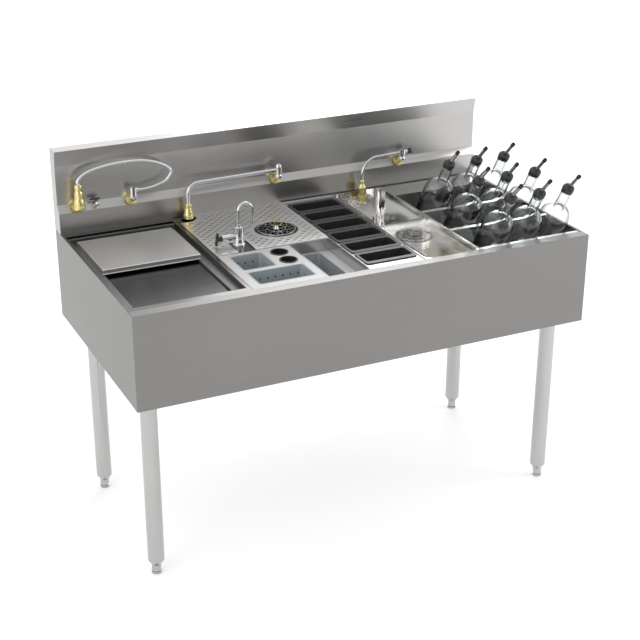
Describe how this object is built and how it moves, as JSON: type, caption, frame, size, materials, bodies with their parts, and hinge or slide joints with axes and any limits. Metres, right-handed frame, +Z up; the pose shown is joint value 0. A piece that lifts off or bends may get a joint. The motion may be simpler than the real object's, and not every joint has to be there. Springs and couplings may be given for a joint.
{
  "type": "cocktail station",
  "caption": "Underbar cocktail station with ice bin, drainboard, tool bins, garnish pans, dump sink, sloped bottle well, wall taps, backsplash and tube legs.",
  "frame": {"origin": "on the floor, under the middle of the bounding box, which reaches from the front bottles' pouring tips to the back", "axes": "+X along the width to the bottle-well end, +Y from the front face to the wall, +Z up"},
  "size_m": [1.219, 0.6482, 0.948],
  "materials": {
    "satin_casing": "satin stainless sheet, grain along the length",
    "frame_steel": "mill-finish stainless",
    "polished_tube": "polished stainless tube",
    "basin_steel": "satin stainless, lightly mirrored walls",
    "cover_steel": "satin stainless",
    "foam": "sealed foam insulation",
    "bin_plastic": "blue-grey moulded plastic",
    "pan_plastic": "black moulded plastic",
    "black_trim": "black plastic",
    "chrome": "polished chrome",
    "tube_steel": "bright filler tube",
    "brass": "satin brass",
    "bottle_glass": "clear glass; its stopper is black plastic and its pouring tube steel"
  },
  "bodies": {
    "station": {"front_panel": "satin_casing", "left_side_panel": "satin_casing", "right_side_panel": "satin_casing", "rear_panel": "satin_casing", "backsplash": "satin_casing", "frame_members": "frame_steel", "leg_tubes": "polished_tube", "ice_bin_liner": "basin_steel", "ice_bin_jacket": "foam", "ice_cover_tracks": "cover_steel", "drain_basin": "basin_steel", "drainboard": "basin_steel", "rinser_body": "basin_steel", "tool_basin": "basin_steel", "pan_carrier": "basin_steel", "sink_bowl": "basin_steel", "waste_outlets": "chrome", "well_liner": "basin_steel", "bottle_rack": "basin_steel", "faucet_bodies": "chrome", "brass_fittings": "brass", "filler_tube": "tube_steel"},
    "rear_cover": {"ice_cover_rear": "cover_steel"},
    "front_cover": {"ice_cover_front": "cover_steel"},
    "star": {"rinser_star": "chrome"},
    "tool_insert": {"tool_panel": "basin_steel", "cup_pair": "black_trim"},
    "square_bin": {"square_bin": "bin_plastic"},
    "wide_bin": {"wide_bin": "bin_plastic"},
    "plain_tray": {"plain_tray": "bin_plastic"},
    "strainer": {"sink_strainer": "chrome"},
    "lever": {"filler_lever": "black_trim"},
    "middle_arm": {"middle_spout": "chrome", "middle_nozzle": "brass"},
    "middle_tap_knob": {"middle_knob": "chrome"},
    "right_arm": {"right_spout": "chrome", "right_nozzle": "brass"},
    "right_tap_knob": {"right_knob": "black_trim"},
    "gooseneck": {"gooseneck_spout": "chrome"},
    "gooseneck_lever": {"gooseneck_handle": "black_trim"},
    "pan_1": {"garnish_pan_1": "pan_plastic"},
    "pan_2": {"garnish_pan_2": "pan_plastic"},
    "pan_3": {"garnish_pan_3": "pan_plastic"},
    "pan_4": {"garnish_pan_4": "pan_plastic"},
    "pan_5": {"garnish_pan_5": "pan_plastic"},
    "pan_6": {"garnish_pan_6": "pan_plastic"},
    "bottle_1": {"bottle_1": "bottle_glass"},
    "bottle_2": {"bottle_2": "bottle_glass"},
    "bottle_3": {"bottle_3": "bottle_glass"},
    "bottle_4": {"bottle_4": "bottle_glass"},
    "bottle_5": {"bottle_5": "bottle_glass"},
    "bottle_6": {"bottle_6": "bottle_glass"},
    "bottle_7": {"bottle_7": "bottle_glass"},
    "bottle_8": {"bottle_8": "bottle_glass"},
    "bottle_9": {"bottle_9": "bottle_glass"},
    "foot_front_left": {"foot_front_left": "polished_tube"},
    "foot_front_right": {"foot_front_right": "polished_tube"},
    "foot_rear_left": {"foot_rear_left": "polished_tube"},
    "foot_rear_right": {"foot_rear_right": "polished_tube"}
  },
  "joints": [
    {"name": "rear_cover_slide", "type": "slide", "parent": "station", "child": "rear_cover", "axis": [0, -1, 0], "range_m": [0, 0.24]},
    {"name": "front_cover_slide", "type": "slide", "parent": "station", "child": "front_cover", "axis": [0, 1, 0], "range_m": [0, 0.22]},
    {"name": "star_press", "type": "slide", "parent": "station", "child": "star", "axis": [0, 0, -1], "range_m": [0, 0.006], "stiffness_N_per_m": 800, "springref_m": -0.003},
    {"name": "tool_insert_lift", "type": "slide", "parent": "station", "child": "tool_insert", "axis": [0, 0, 1], "range_m": [0, 0.15]},
    {"name": "square_bin_lift", "type": "slide", "parent": "tool_insert", "child": "square_bin", "axis": [0, 0, 1], "range_m": [0, 0.12]},
    {"name": "wide_bin_lift", "type": "slide", "parent": "tool_insert", "child": "wide_bin", "axis": [0, 0, 1], "range_m": [0, 0.12]},
    {"name": "plain_tray_lift", "type": "slide", "parent": "station", "child": "plain_tray", "axis": [0, 0, 1], "range_m": [0, 0.12]},
    {"name": "pan_1_lift", "type": "slide", "parent": "station", "child": "pan_1", "axis": [0, 0, 1], "range_m": [0, 0.21]},
    {"name": "pan_2_lift", "type": "slide", "parent": "station", "child": "pan_2", "axis": [0, 0, 1], "range_m": [0, 0.21]},
    {"name": "pan_3_lift", "type": "slide", "parent": "station", "child": "pan_3", "axis": [0, 0, 1], "range_m": [0, 0.21]},
    {"name": "pan_4_lift", "type": "slide", "parent": "station", "child": "pan_4", "axis": [0, 0, 1], "range_m": [0, 0.21]},
    {"name": "pan_5_lift", "type": "slide", "parent": "station", "child": "pan_5", "axis": [0, 0, 1], "range_m": [0, 0.21]},
    {"name": "pan_6_lift", "type": "slide", "parent": "station", "child": "pan_6", "axis": [0, 0, 1], "range_m": [0, 0.21]},
    {"name": "strainer_lift", "type": "slide", "parent": "station", "child": "strainer", "axis": [0, 0, 1], "range_m": [0, 0.09]},
    {"name": "bottle_1_lift", "type": "slide", "parent": "station", "child": "bottle_1", "axis": [0, -0.5, 0.866], "range_m": [0, 0.25]},
    {"name": "bottle_2_lift", "type": "slide", "parent": "station", "child": "bottle_2", "axis": [0, -0.5, 0.866], "range_m": [0, 0.25]},
    {"name": "bottle_3_lift", "type": "slide", "parent": "station", "child": "bottle_3", "axis": [0, -0.5, 0.866], "range_m": [0, 0.25]},
    {"name": "bottle_4_lift", "type": "slide", "parent": "station", "child": "bottle_4", "axis": [0, -0.5, 0.866], "range_m": [0, 0.25]},
    {"name": "bottle_5_lift", "type": "slide", "parent": "station", "child": "bottle_5", "axis": [0, -0.5, 0.866], "range_m": [0, 0.25]},
    {"name": "bottle_6_lift", "type": "slide", "parent": "station", "child": "bottle_6", "axis": [0, -0.5, 0.866], "range_m": [0, 0.25]},
    {"name": "bottle_7_lift", "type": "slide", "parent": "station", "child": "bottle_7", "axis": [0, -0.5, 0.866], "range_m": [0, 0.25]},
    {"name": "bottle_8_lift", "type": "slide", "parent": "station", "child": "bottle_8", "axis": [0, -0.5, 0.866], "range_m": [0, 0.25]},
    {"name": "bottle_9_lift", "type": "slide", "parent": "station", "child": "bottle_9", "axis": [0, -0.5, 0.866], "range_m": [0, 0.25]},
    {"name": "filler_lever_turn", "type": "hinge", "parent": "station", "child": "lever", "pos_m": [-0.5105, 0.27039, 0.80423], "axis": [0, 0.5145, 0.8575], "range_deg": [0, 90]},
    {"name": "middle_arm_swing", "type": "hinge", "parent": "station", "child": "middle_arm", "pos_m": [-0.0115, 0.25924, 0.8289], "axis": [0, 0, 1], "range_deg": [0, 150]},
    {"name": "middle_knob_turn", "type": "hinge", "parent": "station", "child": "middle_tap_knob", "pos_m": [-0.0115, 0.25924, 0.8409], "axis": [0, 0, 1], "range_deg": [0, 270]},
    {"name": "right_arm_swing", "type": "hinge", "parent": "station", "child": "right_arm", "pos_m": [0.3635, 0.25924, 0.8289], "axis": [0, 0, 1], "range_deg": [0, 40]},
    {"name": "right_knob_turn", "type": "hinge", "parent": "right_arm", "child": "right_tap_knob", "pos_m": [0.37941, 0.26092, 0.8289], "axis": [0.9945, 0.1045, 0], "range_deg": [0, 270]},
    {"name": "gooseneck_swivel", "type": "hinge", "parent": "station", "child": "gooseneck", "pos_m": [-0.2235, 0.02561, 0.783], "axis": [0, 0, 1], "range_deg": [-160, 160]},
    {"name": "gooseneck_lever_turn", "type": "hinge", "parent": "station", "child": "gooseneck_lever", "pos_m": [-0.2695, 0.02561, 0.753], "axis": [-1, 0, 0], "range_deg": [0, 90]},
    {"name": "foot_front_left_adjust", "type": "slide", "parent": "station", "child": "foot_front_left", "axis": [0, 0, -1], "range_m": [0, 0.025]},
    {"name": "foot_front_right_adjust", "type": "slide", "parent": "station", "child": "foot_front_right", "axis": [0, 0, -1], "range_m": [0, 0.025]},
    {"name": "foot_rear_left_adjust", "type": "slide", "parent": "station", "child": "foot_rear_left", "axis": [0, 0, -1], "range_m": [0, 0.025]},
    {"name": "foot_rear_right_adjust", "type": "slide", "parent": "station", "child": "foot_rear_right", "axis": [0, 0, -1], "range_m": [0, 0.025]}
  ]
}
